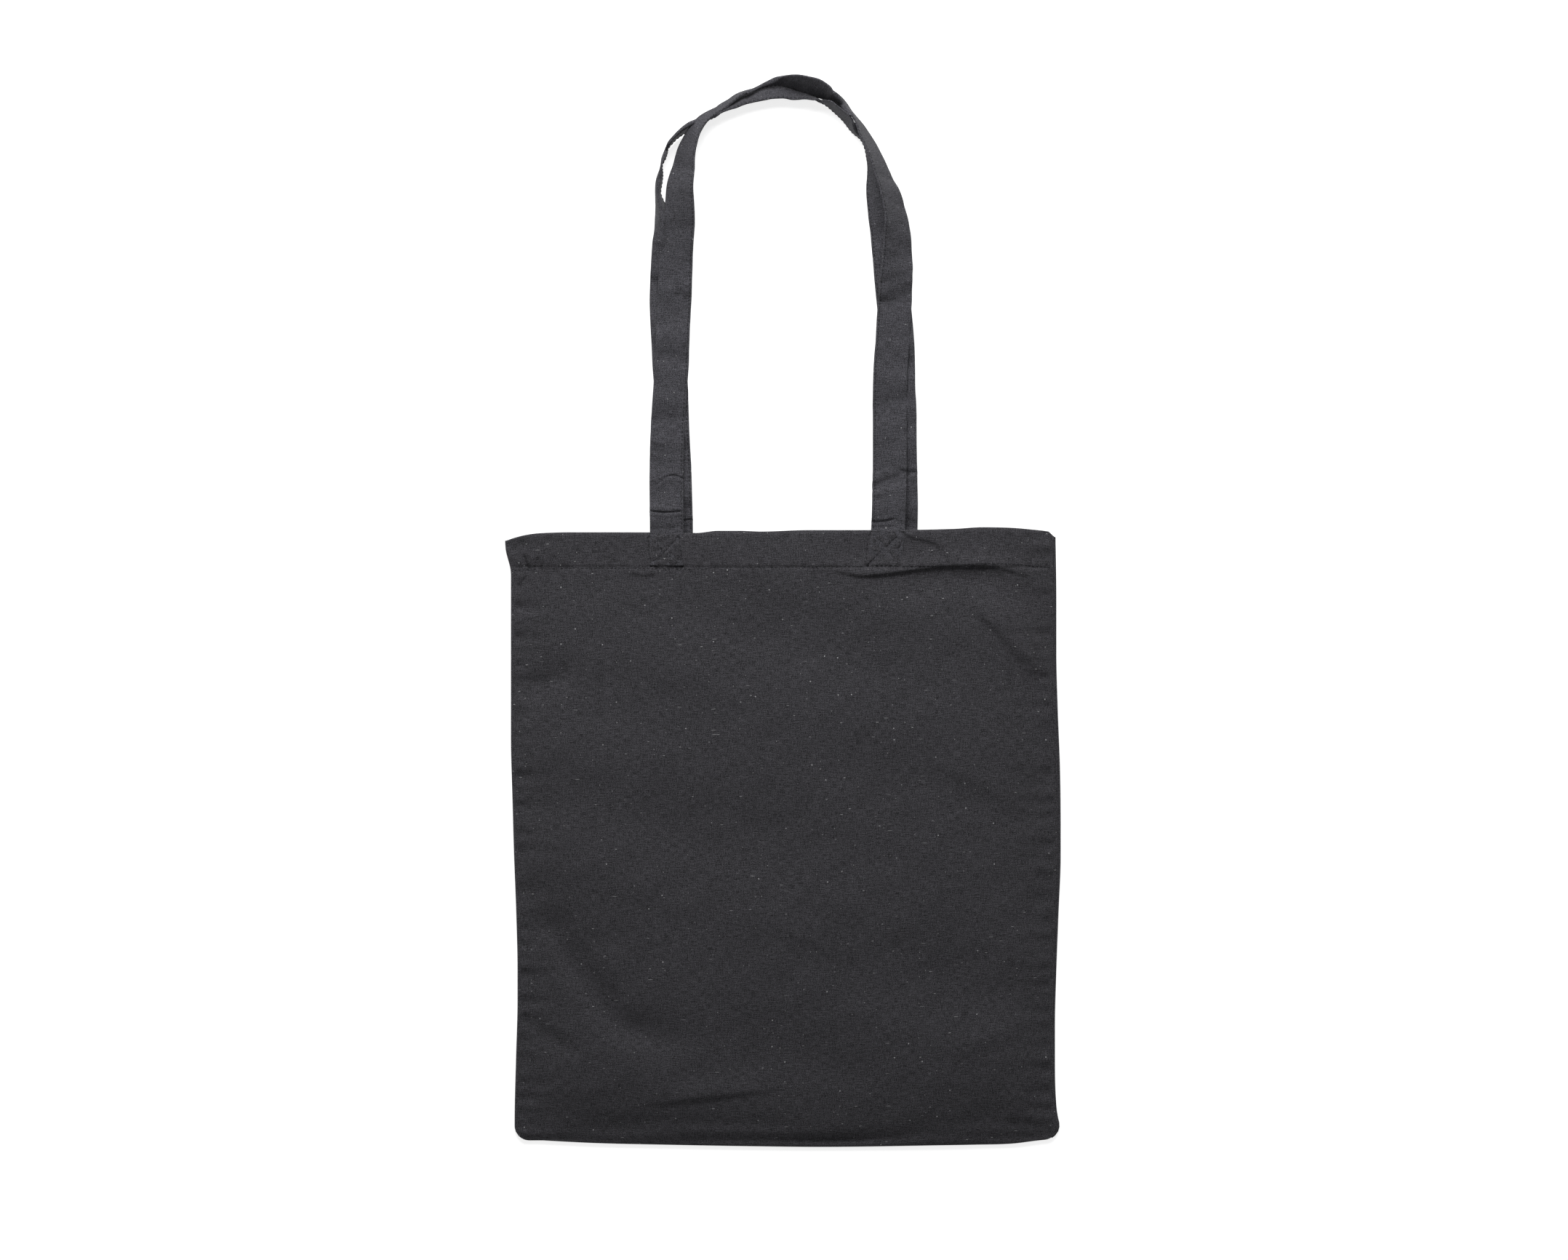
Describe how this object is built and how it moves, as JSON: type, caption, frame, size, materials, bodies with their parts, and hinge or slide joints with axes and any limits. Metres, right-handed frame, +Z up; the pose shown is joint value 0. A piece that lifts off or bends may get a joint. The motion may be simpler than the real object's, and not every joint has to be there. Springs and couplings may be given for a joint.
{
  "type": "canvas tote bag",
  "caption": "Flat cotton canvas shopping bag with a hemmed open mouth and long shoulder handles sewn inside the hem, laid on its back.",
  "frame": {"origin": "on the floor under the middle of the whole outline, handles included", "axes": "+X across the bag to the right, +Y from the bottom fold to the handles, +Z up out of the front panel; the bag lies on its back panel"},
  "size_m": [0.38, 0.7452, 0.0386],
  "materials": {
    "canvas": "charcoal plain-weave cotton, matte",
    "webbing": "charcoal cotton strap folded from the same cloth, matte",
    "thread": "black sewing thread"
  },
  "bodies": {
    "back": {"back_panel": "canvas", "bottom_fold": "canvas", "back_hem": "canvas", "back_hem_stitch": "thread", "left_side_seam": "canvas", "left_seam_overlock": "thread", "right_side_seam": "canvas", "right_seam_overlock": "thread", "back_left_tail": "webbing", "back_left_box_stitch": "thread", "back_right_tail": "webbing", "back_right_box_stitch": "thread"},
    "front": {"front_panel": "canvas", "front_hem": "canvas", "front_hem_stitch": "thread", "front_left_tail": "webbing", "front_left_box_stitch": "thread", "front_right_tail": "webbing", "front_right_box_stitch": "thread"},
    "front_loop": {"front_handle": "webbing", "front_handle_edge_stitch": "thread"},
    "back_loop": {"back_handle": "webbing", "back_handle_edge_stitch": "thread"}
  },
  "joints": [
    {"name": "mouth_open", "type": "hinge", "parent": "back", "child": "front", "pos_m": [0, -0.3708, 0.0015], "axis": [1, 0, 0], "range_deg": [0, 8]},
    {"name": "front_handle_fold", "type": "hinge", "parent": "front", "child": "front_loop", "pos_m": [0, 0.0562, 0.013], "axis": [1, 0, 0], "range_deg": [0, 172]},
    {"name": "back_handle_fold", "type": "hinge", "parent": "back", "child": "back_loop", "pos_m": [0, 0.0562, -0.001], "axis": [1, 0, 0], "range_deg": [-172, 0]}
  ]
}
